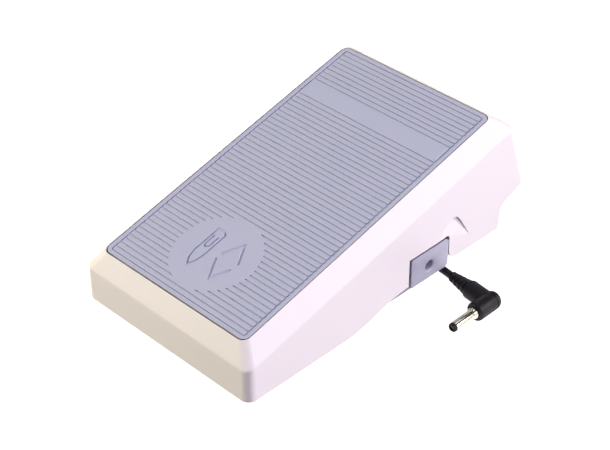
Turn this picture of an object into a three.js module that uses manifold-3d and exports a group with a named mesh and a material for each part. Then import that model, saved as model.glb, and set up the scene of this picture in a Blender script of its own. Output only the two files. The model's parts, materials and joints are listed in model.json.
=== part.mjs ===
// Foot speed controller with a rocking cover, a ribbed tread pad and a barrel plug on a stowed cord.
// Millimetres, +Z up, +Y towards the toe end, +X to the plug side.
// Drawn around a middle line of its own in Y. At the end the whole is moved by CENTRING, which puts
// the origin at the centre of the footprint, on the surface that the rubber feet stand on.

import * as THREE from 'three';
import { mergeVertices } from 'three/addons/utils/BufferGeometryUtils.js';
import Module from 'manifold-3d';

const wasm = await Module();
wasm.setup();

// ---------- driving dimensions ----------
const GAP = 0.3;                 // running gap between pieces that touch
const SLIP = 0.05;               // clearance around pins and bushes
const SCREW_HOLE = 1.3;          // radius of the hole for a small screw
const FLOOR_CLEAR = 4;           // underside of the housing above the surface

const PAD_LENGTH = 190;
const PAD_WIDTH = 107;
const PAD_SLOPE = THREE.MathUtils.degToRad(14.41);
const PAD_FRONT_Y = -99.05;      // heel edge of the pad
const PAD_FRONT_Z = 32 + FLOOR_CLEAR;
const PAD_CORNER = 4;
const PAD_THICK = 2.4;           // rib tops to underside
const PAD_GAP = 0.625;            // open joint between the pad and the cover
const RIB_HEIGHT = 0.8;
const RIB_PITCHES = 55;          // rib pitches between the two end grooves
const PAD_RIM = 2.7;             // smooth rim around the ribs
const BLANK_BAND = [43, 47];     // smooth strip near the toe, counted in rib pitches
const SYMBOL_U = 33.2;           // centre of the smooth disc, level with the rib tops, from the heel edge
const SYMBOL_X = -0.8;
const SYMBOL_RADIUS = 25.6;

const HALF_WIDTH = 63;           // outside of the cover
const FRONT_Y = -105.65;
const TOP_RIM = 1.0;             // edge of the cover's top outside the pad
const BEVEL_OUT = 9.4;           // chamfer around the pad: outwards
const BEVEL_DROP = 10;           // chamfer around the pad: down, square to the pad
const REAR_LIP = { y: 109.65, z: 37.1 };   // rearmost corner, where the leaning rear wall ends
const WALL = 2.6;
const CAVITY = { top: 5.2, crease: 11.3 };   // the cavity's roof and shoulder below the rib tops
const COVER_CORNER = 5.5;
const SKIRT_REAR_Z = 8.9 + FLOOR_CLEAR;

const PIVOT_Y = 37;
const PIVOT_Z = 18;
const PIVOT_RADIUS = 3;
const TOE_TRAVEL = THREE.MathUtils.degToRad(7.5);
const HEEL_TRAVEL = THREE.MathUtils.degToRad(1.4);

const BASE_HALF = 57.5;          // half width of the heel part and of the lobe behind the parking plate
const BASE_NARROW = 50.5;        // half width of the toe part, under the raised skirt
const BASE_WAIST_Y = 12;         // where the heel part ends
const BASE_FRONT = -99;
const BASE_REAR = 78;
const BASE_FLOOR = 2.5;
const BASE_TOP = FLOOR_CLEAR + BASE_FLOOR;

const CORD = 4.5;                // cord diameter
const CORD_PITCH = 4.6;          // from one turn to the next
const COIL_COLUMNS = 4;
const COIL_LAYERS = 3;
const COIL_OUTER = 29.8;         // radius of the outermost turn
const TAIL_Y = 44;               // line on which the cord leaves
const TAIL_Z = 6.6;
const HUB_Y = TAIL_Y - COIL_OUTER;
const PLUG_X = 96.5;             // line of the barrel
const PLUG_Z = 5.6;              // height of the plug's axis
const PLUG_RADIUS = 5.5;
const PLUG_CORNER_Y = 40;        // where the axes of the plug's two arms meet
const PLUG_TURN = THREE.MathUtils.degToRad(7);   // the arm on the cord is turned this far off square
const RELIEF = { start: 29, end: 15.6 };         // sleeve on the cord, as distances from the corner
const BODY_FRONT = 28.1;         // where the barrel leaves the plug's body
const BARREL = { tip: 11.4, radius: 2.75, bore: 2.15 };

const PLATE = { front: 14.45, rear: 44.3, low: 10.4, high: 29.1 };
const PARK = { y: 29.05, z: 18.3, radius: 3.1, wall: 1.9, end: 45 };

// ---------- materials ----------
const COLOURS = {
  shell: [0xece6e8, 0.45, 0],
  pad: [0xb2b2c8, 0.6, 0],
  plate: [0xa9a9bf, 0.5, 0],
  base: [0x8f8f9c, 0.55, 0],
  rubber: [0x2a2a2c, 0.85, 0],
  steel: [0xb9bcc2, 0.35, 1],
  nickel: [0xcfcabd, 0.25, 1],
  brass: [0xb99a55, 0.35, 1],
  cord: [0x1d1b1f, 0.6, 0],
  plug: [0x242126, 0.5, 0],
  gear: [0xe9e7df, 0.5, 0],
  board: [0x2d6b45, 0.6, 0],
  component: [0x2b2d33, 0.5, 0],
};

const assembly = new THREE.Group();

function addMesh(name, geometry, look) {
  const [color, roughness, metalness] = COLOURS[look];
  const mesh = new THREE.Mesh(geometry, new THREE.MeshStandardMaterial({ color, roughness, metalness }));
  mesh.name = name;
  assembly.add(mesh);
  return mesh;
}

// ---------- solids and booleans ----------
function toSolid(geometry) {
  const bare = geometry.clone();
  bare.deleteAttribute('normal');
  bare.deleteAttribute('uv');
  const merged = mergeVertices(bare, 1e-4);
  return new wasm.Manifold(new wasm.Mesh({
    numProp: 3,
    vertProperties: new Float32Array(merged.attributes.position.array),
    triVerts: new Uint32Array(merged.index.array),
  }));
}

function toGeometry(solid) {
  const mesh = solid.getMesh();
  const geometry = new THREE.BufferGeometry();
  geometry.setAttribute('position', new THREE.BufferAttribute(new Float32Array(mesh.vertProperties), 3));
  geometry.setIndex(new THREE.BufferAttribute(new Uint32Array(mesh.triVerts), 1));
  return geometry;
}

function join(...geometries) {
  return geometries.map(toSolid).reduce((sum, next) => sum.add(next));
}

function cut(solid, ...geometries) {
  return geometries.reduce((rest, tool) => rest.subtract(toSolid(tool)), solid);
}

function boxAt([x0, x1], [y0, y1], [z0, z1]) {
  const box = new THREE.BoxGeometry(x1 - x0, y1 - y0, z1 - z0);
  return box.translate((x0 + x1) / 2, (y0 + y1) / 2, (z0 + z1) / 2);
}

function uprightCylinder(radius, [z0, z1], x, y, sides = 24, topRadius = radius) {
  const cylinder = new THREE.CylinderGeometry(topRadius, radius, z1 - z0, sides);
  return cylinder.rotateX(Math.PI / 2).translate(x, y, (z0 + z1) / 2);
}

function crossCylinder(radius, [x0, x1], y, z, sides = 24, endRadius = radius) {
  const cylinder = new THREE.CylinderGeometry(endRadius, radius, x1 - x0, sides);
  return cylinder.rotateZ(-Math.PI / 2).translate((x0 + x1) / 2, y, z);
}

// Turns a shape drawn in (Y, Z) into a slab from x0 to x1.
function sideSlab(shape, [x0, x1]) {
  const slab = new THREE.ExtrudeGeometry(shape, { depth: x1 - x0, bevelEnabled: false, curveSegments: 8 });
  const turn = new THREE.Matrix4().makeBasis(
    new THREE.Vector3(0, 1, 0), new THREE.Vector3(0, 0, 1), new THREE.Vector3(1, 0, 0));
  return slab.applyMatrix4(turn).translate(x0, 0, 0);
}

function polygon(points) {
  return new THREE.Shape(points.map(([a, b]) => new THREE.Vector2(a, b)));
}

function roundedRect([a0, a1], [b0, b1], radius) {
  const shape = new THREE.Shape();
  shape.moveTo(a0 + radius, b0);
  shape.lineTo(a1 - radius, b0);
  shape.absarc(a1 - radius, b0 + radius, radius, -Math.PI / 2, 0);
  shape.lineTo(a1, b1 - radius);
  shape.absarc(a1 - radius, b1 - radius, radius, 0, Math.PI / 2);
  shape.lineTo(a0 + radius, b1);
  shape.absarc(a0 + radius, b1 - radius, radius, Math.PI / 2, Math.PI);
  shape.lineTo(a0, b0 + radius);
  shape.absarc(a0 + radius, b0 + radius, radius, Math.PI, 1.5 * Math.PI);
  return shape;
}

function plateUp(shape, [z0, z1], segments = 6) {
  const options = { depth: z1 - z0, bevelEnabled: false, curveSegments: segments };
  return new THREE.ExtrudeGeometry(shape, options).translate(0, 0, z0);
}

// Points of a rounded rectangle, counter-clockwise, as [a, b] pairs.
function outline([a0, a1], [b0, b1], radius, steps = 5) {
  const corners = [[a1 - radius, b0 + radius, -90], [a1 - radius, b1 - radius, 0],
    [a0 + radius, b1 - radius, 90], [a0 + radius, b0 + radius, 180]];
  return corners.flatMap(([a, b, start]) => Array.from({ length: steps + 1 }, (_, i) => {
    const angle = THREE.MathUtils.degToRad(start + 90 * i / steps);
    return [a + radius * Math.cos(angle), b + radius * Math.sin(angle)];
  }));
}

// Closed skin through rings that all have the same number of points, listed from top to bottom.
function loft(rings) {
  const count = rings[0].length;
  const index = [];
  for (let r = 0; r + 1 < rings.length; r += 1) {
    for (let i = 0; i < count; i += 1) {
      const next = (i + 1) % count;
      const top = r * count;
      const low = top + count;
      index.push(top + i, low + i, low + next, top + i, low + next, top + next);
    }
  }
  const last = (rings.length - 1) * count;
  for (let i = 1; i + 1 < count; i += 1) {
    index.push(0, i, i + 1, last, last + i + 1, last + i);
  }
  const geometry = new THREE.BufferGeometry();
  geometry.setAttribute('position', new THREE.Float32BufferAttribute(rings.flat(2), 3));
  geometry.setIndex(index);
  return geometry;
}

// ---------- the sloping frame of the pad: x across, u along from the heel edge, n square to it ----------
const SLOPE_COS = Math.cos(PAD_SLOPE);
const SLOPE_SIN = Math.sin(PAD_SLOPE);

function onPad(x, u, n) {
  return [x, PAD_FRONT_Y + u * SLOPE_COS - n * SLOPE_SIN, PAD_FRONT_Z + u * SLOPE_SIN + n * SLOPE_COS];
}

function padToWorld(geometry) {
  const place = new THREE.Matrix4().makeBasis(
    new THREE.Vector3(1, 0, 0),
    new THREE.Vector3(0, SLOPE_COS, SLOPE_SIN),
    new THREE.Vector3(0, -SLOPE_SIN, SLOPE_COS));
  place.setPosition(0, PAD_FRONT_Y, PAD_FRONT_Z);
  return geometry.applyMatrix4(place);
}

function padTopZ(y) {
  return PAD_FRONT_Z + (y - PAD_FRONT_Y) * Math.tan(PAD_SLOPE);
}

// ---------- cover ----------
function coverRings(inset, topDrop, creaseDrop) {
  const [, creaseY, creaseZ] = onPad(0, PAD_LENGTH + BEVEL_OUT, -BEVEL_DROP);
  const rearAtFloor = creaseY + creaseZ * (REAR_LIP.y - creaseY) / (creaseZ - REAR_LIP.z);
  const half = HALF_WIDTH - inset;
  const bevelInset = inset * 0.75;
  const halfTop = PAD_WIDTH / 2 + TOP_RIM - bevelInset;
  const top = outline([-halfTop, halfTop],
    [-TOP_RIM + bevelInset, PAD_LENGTH + TOP_RIM - bevelInset], PAD_CORNER + TOP_RIM);
  const crease = outline([-half, half],
    [-BEVEL_OUT + inset, PAD_LENGTH + BEVEL_OUT - inset], COVER_CORNER - inset * 0.6);
  const bottom = outline([-half, half], [FRONT_Y + inset, rearAtFloor - inset], COVER_CORNER - inset * 0.6);
  return [
    top.map(([x, u]) => onPad(x, u, -topDrop)),
    crease.map(([x, u]) => onPad(x, u, -creaseDrop)),
    bottom.map(([x, y]) => [x, y, -inset]),
  ];
}

function skirtCut() {
  const shape = new THREE.Shape();
  shape.moveTo(-130, -12);
  shape.lineTo(-130, FLOOR_CLEAR);
  shape.lineTo(-36.5, FLOOR_CLEAR);
  shape.quadraticCurveTo(-28, FLOOR_CLEAR, -18, 6.6);
  shape.quadraticCurveTo(0, SKIRT_REAR_Z - 0.6, 12, SKIRT_REAR_Z);
  shape.lineTo(87.4, SKIRT_REAR_Z);
  shape.lineTo(88.3, 24.2);
  shape.quadraticCurveTo(88.6, 26.9, 91.4, 28.3);
  shape.lineTo(108.2, 36);
  shape.quadraticCurveTo(110.2, 36.9, 110.4, 39);
  shape.lineTo(135, 39);
  shape.lineTo(135, -12);
  return sideSlab(shape, [-80, 80]);
}

// Where the cavity ends behind, one wall inside the skirt and the lip.
function rearStep() {
  const points = [[84.8, -20], [85.7, 25.5], [90, 30.6], [106.5, 38.2], [140, 53], [140, -20]];
  return sideSlab(polygon(points), [-80, 80]);
}

// Opening in the right wall around the parking plate.
function plateNotch() {
  const shape = new THREE.Shape();
  const [front, rear, top] = [PLATE.front - 1.7, PLATE.rear + 0.8, PLATE.high + 1.2];
  shape.moveTo(front, 0);
  shape.lineTo(rear + 8.3, 0);
  shape.lineTo(rear + 8.3, SKIRT_REAR_Z);
  shape.quadraticCurveTo(rear + 0.5, SKIRT_REAR_Z, rear, 20.5);
  shape.lineTo(rear, top - 2);
  shape.quadraticCurveTo(rear, top, rear - 2, top);
  shape.lineTo(front, top);
  return sideSlab(shape, [HALF_WIDTH - 6, HALF_WIDTH + 6]);
}

// Shallow thumb scoop behind the plate. It runs out along the straight line from its first to its
// last point and is deepest under the curved edge between them.
const SCOOP_SLOPE = 0.24;
const SCOOP_FROM = [38, 38.5];
const SCOOP_TO = [58.8, 24.6];

function thumbScoop() {
  const shape = new THREE.Shape();
  shape.moveTo(...SCOOP_FROM);
  shape.bezierCurveTo(46, 40.4, 51.6, 40.8, 53.2, 37.2);
  shape.bezierCurveTo(54.8, 33.6, 57, 29.6, ...SCOOP_TO);
  const [dy, dz] = [SCOOP_TO[0] - SCOOP_FROM[0], SCOOP_TO[1] - SCOOP_FROM[1]];
  const perY = -SCOOP_SLOPE * -dz / Math.hypot(dy, dz);
  const perZ = -SCOOP_SLOPE * dy / Math.hypot(dy, dz);
  const start = HALF_WIDTH - perY * SCOOP_FROM[0] - perZ * SCOOP_FROM[1];
  const lean = new THREE.Matrix4().set(1, perY, perZ, start, 0, 1, 0, 0, 0, 0, 1, 0, 0, 0, 0, 1);
  return sideSlab(shape, [0, 8]).applyMatrix4(lean);
}

const TOE_SPRING = { x: 30, y: 66, low: 9.4, high: 34.6 };
const HEEL_SPRING = { x: 46, y: -32, low: 9.4, high: 32.6 };
const TOE_STOP = { x: 43.2, y: 66.5, high: 14 };
const HEEL_STOP = { x: 50, y: -88, high: 12 };
const STOP_RADIUS = 4.8;
const EAR = [38.5, 42.5];
const TOWER = [33.3, 37.3];

function mirrored(range, side) {
  return side > 0 ? range : [-range[1], -range[0]];
}

// Posts, ribs and hinge ears that hang under the cover's top.
function coverInside(side) {
  const intoTop = 3.4;
  const parts = [];
  const posts = [
    [TOE_SPRING, 7, TOE_SPRING.high + GAP], [HEEL_SPRING, 6.5, HEEL_SPRING.high + GAP],
    [TOE_STOP, 4, TOE_STOP.high + GAP + (TOE_STOP.y + STOP_RADIUS - PIVOT_Y) * Math.sin(TOE_TRAVEL)],
    [HEEL_STOP, 4, HEEL_STOP.high + GAP + (PIVOT_Y - HEEL_STOP.y + STOP_RADIUS) * Math.sin(HEEL_TRAVEL)],
  ];
  for (const [spot, radius, low] of posts) {
    const edgeDrop = Math.max(0, spot.x + radius - 52) * 1.1;
    parts.push(uprightCylinder(radius, [low, padTopZ(spot.y) - intoTop - radius * 0.27 - edgeDrop],
      side * spot.x, spot.y, 16));
  }
  for (const spring of [TOE_SPRING, HEEL_SPRING]) {
    parts.push(uprightCylinder(3.4, [spring.high - 5, spring.high + 2], side * spring.x, spring.y, 12, 3.8));
  }
  const ear = new THREE.Shape();
  ear.moveTo(PIVOT_Y - 16, padTopZ(PIVOT_Y - 16) - 4);
  ear.lineTo(PIVOT_Y - 6.5, PIVOT_Z);
  ear.absarc(PIVOT_Y, PIVOT_Z, 6.5, Math.PI, 2 * Math.PI);
  ear.lineTo(PIVOT_Y + 16, padTopZ(PIVOT_Y + 16) - 4);
  parts.push(sideSlab(ear, mirrored(EAR, side)));
  return parts;
}

const BUSH_OUTER = 4.4;

function makeCover() {
  const outer = toSolid(loft(coverRings(0, 0, BEVEL_DROP))).subtract(toSolid(skirtCut()));
  const cavity = toSolid(loft(coverRings(WALL, CAVITY.top, CAVITY.crease))).subtract(toSolid(rearStep()));
  const inside = join(...coverInside(1), ...coverInside(-1));
  const recess = plateUp(roundedRect([-PAD_WIDTH / 2 - PAD_GAP, PAD_WIDTH / 2 + PAD_GAP],
    [-PAD_GAP, PAD_LENGTH + PAD_GAP], PAD_CORNER + PAD_GAP), [-PAD_THICK - GAP, 5]);
  const behindScoop = boxAt([HALF_WIDTH - 5, HALF_WIDTH - 1], [38, 68], [22, 44]);
  let cover = outer.subtract(cavity).add(inside).add(toSolid(behindScoop));
  cover = cut(cover, padToWorld(recess), plateNotch(), thumbScoop());
  for (const side of [1, -1]) {
    const [x0, x1] = mirrored(EAR, side);
    cover = cut(cover, crossCylinder(BUSH_OUTER + SLIP, [x0 - 1, x1 + 1], PIVOT_Y, PIVOT_Z));
  }
  for (const [y, z] of SECTOR_SCREWS) {
    cover = cut(cover, crossCylinder(SCREW_HOLE, [-EAR[1] - 1, -EAR[1] + 3.4], y, z, 8));
  }
  return cover;
}

// ---------- tread pad ----------
function makePad() {
  const pitch = (PAD_LENGTH - 2 * PAD_RIM) / RIB_PITCHES;
  const ribFoot = pitch * 0.42;
  const ribTop = pitch * 0.30;
  const base = -PAD_THICK;
  const floor = -RIB_HEIGHT;
  const profile = new THREE.Shape();
  profile.moveTo(0, base);
  profile.lineTo(PAD_LENGTH, base);
  profile.lineTo(PAD_LENGTH, 0);
  profile.lineTo(PAD_LENGTH - PAD_RIM + 0.5, 0);
  profile.lineTo(PAD_LENGTH - PAD_RIM + 0.2, floor);
  const [bandFirst, bandLast] = [BLANK_BAND[0], BLANK_BAND[1] - 1];
  for (let i = RIB_PITCHES - 1; i >= 0; i -= 1) {
    const middle = PAD_RIM + (i + 0.5) * pitch;
    const inBand = i >= bandFirst && i <= bandLast;
    if (!inBand || i === bandLast) {
      profile.lineTo(middle + ribFoot, floor);
      profile.lineTo(middle + ribTop, 0);
    }
    if (!inBand || i === bandFirst) {
      profile.lineTo(middle - ribTop, 0);
      profile.lineTo(middle - ribFoot, floor);
    }
  }
  profile.lineTo(PAD_RIM - 0.2, floor);
  profile.lineTo(PAD_RIM - 0.5, 0);
  profile.lineTo(0, 0);
  const comb = sideSlab(profile, [-PAD_WIDTH / 2, PAD_WIDTH / 2]);
  // sideSlab works in (Y, Z): here that is (u, n), so the slab only has to be laid on the slope.
  let pad = toSolid(comb).intersect(toSolid(plateUp(roundedRect([-PAD_WIDTH / 2, PAD_WIDTH / 2],
    [0, PAD_LENGTH], PAD_CORNER), [base - 1, 1])));
  for (const side of [1, -1]) {
    const groove = mirrored([PAD_WIDTH / 2 - PAD_RIM - 0.4, PAD_WIDTH / 2 - PAD_RIM + 0.3], side);
    pad = cut(pad, boxAt(groove, [PAD_RIM, PAD_LENGTH - PAD_RIM], [floor, 2]));
  }
  pad = pad.add(toSolid(uprightCylinder(SYMBOL_RADIUS, [base + 0.5, 0], SYMBOL_X, SYMBOL_U, 40)));
  return padToWorld(toGeometry(pad));
}

// ---------- base ----------
const HUB_WALL = 13.3;
const HUB_HOLLOW = 11.2;
const CHANNEL_OUTER = COIL_OUTER + CORD / 2 + 1.2;
const CHANNEL_ROOF = TAIL_Z + (COIL_LAYERS - 1) * CORD_PITCH + CORD / 2 + 0.5;
const HAT_TOP = CHANNEL_ROOF + 2.2;
const BOARD = { x: 30, front: -88, rear: -48, z: 11 };
const BOARD_HOLES = [[-26, -84], [26, -84], [-26, -52], [26, -52]];
const FEET = { front_left: [-44, -80], front_right: [44, -80], rear_left: [-42, 53], rear_right: [42, 53] };
const FOOT_STEM = 2.4;
const BRACKET_SCREWS = [[-43, -14], [-51, -14]];
const CLAMP_SCREWS = [[-9, -36], [9, -36]];
const FLANGE_THICK = 1.8;

// Outline of the base, drawn in by `inset`: wide at the heel, narrow at the toe, with a lobe at the plate.
function baseOutline(inset, [z0, z1]) {
  const wide = BASE_HALF - inset;
  const narrow = BASE_NARROW - inset;
  const corner = 4 - inset * 0.75;
  const heelShape = roundedRect([-wide, wide], [BASE_FRONT + inset, BASE_WAIST_Y - inset], corner);
  const toeShape = roundedRect([-narrow, narrow], [BASE_WAIST_Y - 20, BASE_REAR - inset], corner);
  const heel = plateUp(heelShape, [z0, z1]);
  const toe = plateUp(toeShape, [z0, z1]);
  const lobe = boxAt([30, wide], [BASE_WAIST_Y - 5, PLATE.rear + 1.5 - inset], [z0, z1]);
  return join(heel, toe, lobe);
}

function makeBase() {
  let base = baseOutline(0, [FLOOR_CLEAR, 11]).subtract(baseOutline(2, [BASE_TOP, 14]));
  const additions = [
    uprightCylinder(CHANNEL_OUTER + 2, [FLOOR_CLEAR + 1, HAT_TOP], 0, HUB_Y, 36),
    boxAt([20, BASE_NARROW - 0.5], [TAIL_Y - 4.6, TAIL_Y + 4.6], [FLOOR_CLEAR + 1, 10.8]),
    boxAt([BASE_HALF - 2.2, BASE_HALF], [PLATE.front, PLATE.rear], [FLOOR_CLEAR + 1, PLATE.high - 0.5]),
    crossCylinder(PARK.radius + PARK.wall, [PARK.end - 1.5, BASE_HALF - 1], PARK.y, PARK.z, 24),
    boxAt([PARK.end, BASE_HALF - 1], [PARK.y - 1.2, PARK.y + 1.2], [BASE_TOP - 1, PARK.z]),
  ];
  for (const side of [1, -1]) {
    const tower = new THREE.Shape();
    tower.moveTo(PIVOT_Y - 7.5, BASE_TOP - 1);
    tower.lineTo(PIVOT_Y + 9, BASE_TOP - 1);
    tower.lineTo(PIVOT_Y + 5.5, PIVOT_Z);
    tower.absarc(PIVOT_Y, PIVOT_Z, 5.5, 0, Math.PI);
    additions.push(sideSlab(tower, mirrored(TOWER, side)));
    for (const spring of [TOE_SPRING, HEEL_SPRING]) {
      additions.push(uprightCylinder(8, [BASE_TOP - 1, spring.low - GAP], side * spring.x, spring.y, 14));
      additions.push(uprightCylinder(3.8, [BASE_TOP, spring.low + 5], side * spring.x, spring.y, 10, 3.4));
    }
  }
  for (const [x, y] of BOARD_HOLES) {
    additions.push(uprightCylinder(3, [BASE_TOP - 1, BOARD.z - GAP], x, y, 8));
  }
  for (const [x, y] of BRACKET_SCREWS) {
    additions.push(uprightCylinder(3.4, [BASE_TOP - 1, 8.7], x, y, 8));
  }
  for (const [x, y] of CLAMP_SCREWS) {
    additions.push(uprightCylinder(3, [BASE_TOP - 1, 10.5], x, y, 8));
  }
  base = base.add(join(...additions));
  // The cord channel is a ring open to the underside, with the hub standing in its middle.
  const ring = new THREE.LatheGeometry([
    new THREE.Vector2(HUB_WALL, 0), new THREE.Vector2(CHANNEL_OUTER, 0),
    new THREE.Vector2(CHANNEL_OUTER, CHANNEL_ROOF), new THREE.Vector2(HUB_WALL, CHANNEL_ROOF),
    new THREE.Vector2(HUB_WALL, 0)], 36).rotateX(Math.PI / 2).translate(0, HUB_Y, 0);
  base = cut(base, ring,
    uprightCylinder(HUB_HOLLOW, [BASE_TOP + 1, HAT_TOP + 5], 0, HUB_Y, 24),
    boxAt([-1, BASE_HALF + 5], [TAIL_Y - 2.9, TAIL_Y + 2.9], [0, 9.2]),
    grommetBlock(0.15),
    crossCylinder(PARK.radius, [PARK.end, BASE_HALF + 2], PARK.y, PARK.z, 24));
  base = base.add(toSolid(uprightCylinder(4.2, [BASE_TOP, BASE_TOP + 6], 0, HUB_Y, 16)));
  base = cut(base, uprightCylinder(1.5, [0, BASE_TOP + 4], 0, HUB_Y, 12));
  for (const side of [1, -1]) {
    const [x0, x1] = mirrored(TOWER, side);
    base = cut(base, crossCylinder(PIVOT_RADIUS + SLIP, [x0 - 1, x1 + 1], PIVOT_Y, PIVOT_Z));
  }
  for (const [x, y] of Object.values(FEET)) {
    base = cut(base, uprightCylinder(FOOT_STEM + GAP, [0, BASE_TOP + 1], x, y, 16));
  }
  const blindHoles = [
    ...BOARD_HOLES.map(([x, y]) => [x, y, 7]),
    ...BRACKET_SCREWS.map(([x, y]) => [x, y, 5.4]),
    ...CLAMP_SCREWS.map(([x, y]) => [x, y, 7]),
  ];
  for (const [x, y, low] of blindHoles) {
    base = cut(base, uprightCylinder(SCREW_HOLE, [low, 15], x, y, 8));
  }
  for (const z of PLATE_SCREW_Z) {
    base = cut(base, crossCylinder(1.5, [BASE_HALF - 4, BASE_HALF + 1], PLATE_SCREW_Y, z, 8));
  }
  return base;
}

// Grommet in the hub wall, where the cord leaves the housing on a slant.
const GROMMET = { angle: THREE.MathUtils.degToRad(150), z: TAIL_Z + (COIL_LAYERS - 1) * CORD_PITCH };

function grommetBlock(grow) {
  const block = new THREE.BoxGeometry(4.4 + 2 * grow, 5.6 + 2 * grow, 6 + 2 * grow);
  block.translate((HUB_WALL + HUB_HOLLOW) / 2 - 1.4, 0, GROMMET.z - 0.3);
  return block.rotateZ(GROMMET.angle).translate(0, HUB_Y, 0);
}

// ---------- parking plate ----------
const PLATE_SCREW_Y = 38.2;
const PLATE_SCREW_Z = [14.2, 25];
const PLATE_FACE = HALF_WIDTH + 0.2;

function makePlate() {
  const corner = 2.6;
  const face = new THREE.Shape();
  face.moveTo(PLATE.front + 0.8, PLATE.low);
  face.lineTo(PLATE.rear - corner, PLATE.low);
  face.absarc(PLATE.rear - corner, PLATE.low + corner, corner, -Math.PI / 2, 0);
  face.lineTo(PLATE.rear, PLATE.high - corner);
  face.absarc(PLATE.rear - corner, PLATE.high - corner, corner, 0, Math.PI / 2);
  face.lineTo(PLATE.front + 0.8, PLATE.high);
  face.lineTo(PLATE.front, PLATE.high - 0.8);
  face.lineTo(PLATE.front, PLATE.low + 0.8);
  const slab = toSolid(sideSlab(face, [BASE_HALF + GAP, PLATE_FACE]));
  const flare = crossCylinder(PARK.radius, [PLATE_FACE - 0.7, PLATE_FACE + 0.01], PARK.y, PARK.z, 24,
    PARK.radius + 0.7);
  let plate = cut(slab, flare, crossCylinder(PARK.radius, [50, PLATE_FACE + 1], PARK.y, PARK.z, 24));
  for (const z of PLATE_SCREW_Z) {
    plate = cut(plate, crossCylinder(1.15, [50, PLATE_FACE - 2], PLATE_SCREW_Y, z, 8));
  }
  return plate;
}

// ---------- small hardware ----------
// Pan-head screw standing on point `at`, driven along `axis` (pointing from head to tip).
function makeScrew(name, [x, y, z], axis, length, radius = 1, head = 2.2) {
  const profile = [[0, 1.4], [head * 0.7, 1.4], [head, 0.6], [head, 0], [radius, 0], [radius, -length],
    [0, -length]].map(([r, h]) => new THREE.Vector2(r, h));
  const body = toSolid(new THREE.LatheGeometry(profile.reverse(), 10));
  const slot = boxAt([-head - 1, head + 1], [0.9, 3], [-0.3, 0.3]);
  const mesh = addMesh(name, toGeometry(cut(body, slot)), 'steel');
  mesh.quaternion.setFromUnitVectors(new THREE.Vector3(0, -1, 0), new THREE.Vector3(...axis));
  mesh.position.set(x, y, z);
}

class Helix extends THREE.Curve {
  constructor(radius, turns, low, high) {
    super();
    Object.assign(this, { radius, turns, low, high });
  }

  getPoint(t) {
    const angle = 2 * Math.PI * this.turns * t;
    return new THREE.Vector3(this.radius * Math.cos(angle), this.radius * Math.sin(angle),
      this.low + (this.high - this.low) * t);
  }
}

function makeSpring(name, spring, side, turns) {
  const wire = 0.65;
  const section = new THREE.Shape();
  section.absarc(0, 0, wire, 0, 2 * Math.PI);
  const path = new Helix(6, turns, spring.low + wire, spring.high - wire);
  const coil = new THREE.ExtrudeGeometry(section, {
    steps: turns * 9, bevelEnabled: false, extrudePath: path, curveSegments: 3,
  });
  addMesh(name, coil.translate(side * spring.x, spring.y, 0), 'steel');
}

// ---------- sector gear and pinion ----------
const GEAR_MODULE = 0.8;
const SECTOR_TEETH = 72;         // on the full circle
const SECTOR_CUT = 6;            // teeth that the sector carries
const PINION_TEETH = 18;
const PRESSURE = THREE.MathUtils.degToRad(20);
const PINION_Y = PIVOT_Y - GEAR_MODULE * (SECTOR_TEETH + PINION_TEETH) / 2;
const SECTOR_X = [-46.3, -42.8];
const SECTOR_SCREWS = [[PIVOT_Y - 9, PIVOT_Z + 7], [PIVOT_Y + 1, PIVOT_Z + 12]];

// Outline points of involute teeth, centred on the given first tooth's direction.
function toothPoints(teeth, count, middle) {
  const pitchRadius = GEAR_MODULE * teeth / 2;
  const baseRadius = pitchRadius * Math.cos(PRESSURE);
  const tip = pitchRadius + 0.85 * GEAR_MODULE;
  const root = pitchRadius - 1.15 * GEAR_MODULE;
  const involute = (r) => {
    const angle = Math.acos(Math.min(1, baseRadius / r));
    return Math.tan(angle) - angle;
  };
  const backlash = 0.14;
  const halfAtPitch = (Math.PI * GEAR_MODULE / 2 - backlash) / 2 / pitchRadius;
  const halfAt = (r) => halfAtPitch + involute(pitchRadius) - involute(Math.max(r, baseRadius));
  const start = Math.max(baseRadius, root);
  const radii = [root, start + 0.02, (start + tip) / 2, tip];
  const points = [];
  for (let i = 0; i < count; i += 1) {
    const centre = middle + (i - (count - 1) / 2) * 2 * Math.PI / teeth;
    radii.forEach((r) => points.push([r, centre - halfAt(r)]));
    [...radii].reverse().forEach((r) => points.push([r, centre + halfAt(r)]));
  }
  return points.map(([r, angle]) => [r * Math.cos(angle), r * Math.sin(angle)]);
}

function makeSector() {
  const teeth = toothPoints(SECTOR_TEETH, SECTOR_CUT, Math.PI + Math.PI / SECTOR_TEETH);
  const shape = polygon([...teeth, [-8, -9], [4, -8.5], [7.5, 0], [6, 15.5], [-4, 16.5], [-14, 13]]
    .map(([a, b]) => [a + PIVOT_Y, b + PIVOT_Z]));
  let sector = cut(toSolid(sideSlab(shape, SECTOR_X)), crossCylinder(4, [-50, -40], PIVOT_Y, PIVOT_Z, 20));
  for (const [y, z] of SECTOR_SCREWS) {
    sector = cut(sector, crossCylinder(SCREW_HOLE, [-50, -40], y, z, 8));
  }
  return sector;
}

function makePinion() {
  const shape = polygon(toothPoints(PINION_TEETH, PINION_TEETH, 0)
    .map(([a, b]) => [a + PINION_Y, b + PIVOT_Z]));
  const wheel = toSolid(sideSlab(shape, SECTOR_X));
  return wheel.add(toSolid(crossCylinder(2.5, [-52, SECTOR_X[0] + 1], PINION_Y, PIVOT_Z, 20)));
}

// ---------- potentiometer and its bracket ----------
const BRACKET_X = [-48.9, -47.4];
const POT_X = [-55.1, -49.2];

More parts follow.
